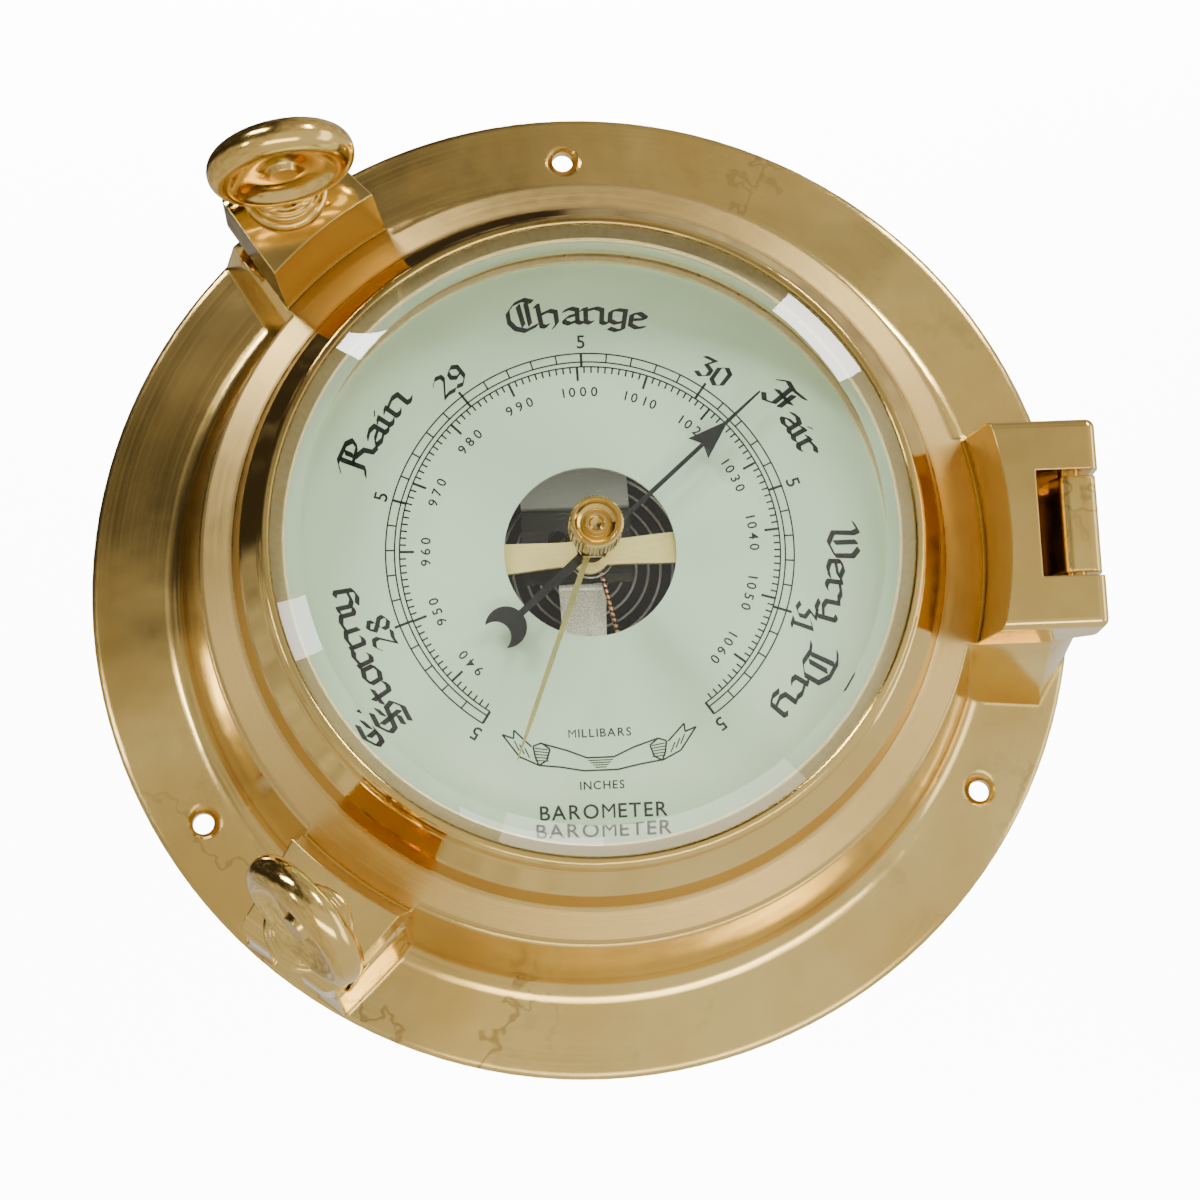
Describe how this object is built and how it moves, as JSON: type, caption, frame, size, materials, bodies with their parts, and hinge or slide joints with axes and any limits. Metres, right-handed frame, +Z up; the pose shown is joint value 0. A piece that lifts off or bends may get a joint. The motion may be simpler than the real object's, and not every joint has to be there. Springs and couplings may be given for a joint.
{
  "type": "aneroid barometer",
  "caption": "Brass porthole-style aneroid barometer with a hinged glazed door, swing dogs with thumb nuts, a set hand and an open-face movement",
  "frame": {"origin": "Centre of the wall screw circle, in the back plane of the flange", "axes": "+Z up the dial, +X to three o'clock, the dial faces -Y"},
  "size_m": [0.185, 0.0738, 0.185],
  "materials": {
    "polished_brass": "polished and lacquered",
    "brushed_brass": "fine turned",
    "movement_brass": "milled",
    "capsule_metal": "dark plated, corrugated",
    "spring_steel": "bright nickel",
    "lever_steel": "silvered",
    "dark_plate": "dark satin",
    "dial_mint": "pale matte lacquer",
    "blued_steel": "dark satin",
    "chain_copper": "oiled",
    "clear_glass": "clear"
  },
  "bodies": {
    "case": {"base_flange": "polished_brass", "hinge_pin": "polished_brass", "instrument_case": "brushed_brass", "case_screws": "lever_steel", "dial": "dial_mint", "dial_ring": "brushed_brass", "dial_feet": "movement_brass", "dial_foot_screws": "lever_steel", "movement_plate": "dark_plate", "plate_spacers": "movement_brass", "plate_screws": "lever_steel", "capsule": "capsule_metal", "main_spring": "spring_steel", "spring_screws": "lever_steel", "bridge": "movement_brass", "bridge_pillars": "movement_brass", "bridge_screws": "lever_steel", "rocker_bracket": "movement_brass", "hairspring": "spring_steel"},
    "door": {"door_ring": "polished_brass", "glass": "clear_glass", "glass_seat": "movement_brass", "glass_clamp_ring": "brushed_brass", "set_bush": "polished_brass", "set_bush_nut": "movement_brass"},
    "set_pointer": {"set_spindle": "movement_brass", "set_knob": "polished_brass", "set_hand": "polished_brass"},
    "pressure_hand": {"pointer": "blued_steel", "pointer_arbor": "movement_brass"},
    "capsule_head": {"capsule_stud": "lever_steel"},
    "lever": {"main_lever": "lever_steel"},
    "rocking_shaft": {"rocker": "movement_brass"},
    "fusee_chain": {"chain": "chain_copper"},
    "regulator": {"regulating_screw": "lever_steel"},
    "upper_dog": {"upper_dog_bolt": "polished_brass", "upper_dog_pin": "polished_brass", "upper_dog_washer": "polished_brass"},
    "upper_nut": {"upper_dog_nut": "polished_brass"},
    "lower_dog": {"lower_dog_bolt": "polished_brass", "lower_dog_pin": "polished_brass", "lower_dog_washer": "polished_brass"},
    "lower_nut": {"lower_dog_nut": "polished_brass"}
  },
  "joints": [
    {"name": "door_hinge", "type": "hinge", "parent": "case", "child": "door", "pos_m": [0.0868, -0.0395, 0], "axis": [0, 0, 1], "range_deg": [0, 170]},
    {"name": "upper_dog_swing", "type": "hinge", "parent": "door", "child": "upper_dog", "pos_m": [-0.05238, -0.0115, 0.06656], "axis": [-0.7859, 0, -0.6184], "range_deg": [0, 75]},
    {"name": "upper_nut_spin", "type": "hinge", "parent": "upper_dog", "child": "upper_nut", "pos_m": [-0.05238, -0.056, 0.06656], "axis": [0, -1, 0], "range_deg": [0, 720]},
    {"name": "lower_dog_swing", "type": "hinge", "parent": "door", "child": "lower_dog", "pos_m": [-0.05238, -0.0115, -0.06656], "axis": [0.7859, 0, -0.6184], "range_deg": [0, 75]},
    {"name": "lower_nut_spin", "type": "hinge", "parent": "lower_dog", "child": "lower_nut", "pos_m": [-0.05238, -0.056, -0.06656], "axis": [0, -1, 0], "range_deg": [0, 720]},
    {"name": "set_knob_turn", "type": "hinge", "parent": "door", "child": "set_pointer", "pos_m": [0, -0.057, 0], "axis": [0, 1, 0], "continuous": true},
    {"name": "pointer_turn", "type": "hinge", "parent": "case", "child": "pressure_hand", "pos_m": [0, -0.033, 0], "axis": [0, 1, 0], "range_deg": [-194.1, 97.5]},
    {"name": "capsule_rise", "type": "slide", "parent": "case", "child": "capsule_head", "axis": [0, 1, 0], "range_m": [-0.000408, 0.000205]},
    {"name": "lever_tilt", "type": "hinge", "parent": "case", "child": "lever", "pos_m": [0, -0.0244, -0.00495], "axis": [1, 0, 0], "range_deg": [-3.28, 1.65]},
    {"name": "rocker_tilt", "type": "hinge", "parent": "case", "child": "rocking_shaft", "pos_m": [0, -0.017, -0.03], "axis": [1, 0, 0], "range_deg": [-23.86, 11.98]},
    {"name": "chain_draw", "type": "slide", "parent": "case", "child": "fusee_chain", "axis": [0.2145, 0, -0.9767], "range_m": [-0.00466, 0.00234]},
    {"name": "regulator_turn", "type": "hinge", "parent": "case", "child": "regulator", "pos_m": [0, -0.005, 0.038], "axis": [0, 1, 0], "range_deg": [-180, 180]}
  ],
  "couplings": [
    {"joint": "capsule_rise", "follows": "pointer_turn", "m_per_rad": 0.000118},
    {"joint": "lever_tilt", "follows": "pointer_turn", "ratio": 0.01656},
    {"joint": "rocker_tilt", "follows": "pointer_turn", "ratio": 0.1205},
    {"joint": "chain_draw", "follows": "pointer_turn", "m_per_rad": 0.00135}
  ]
}
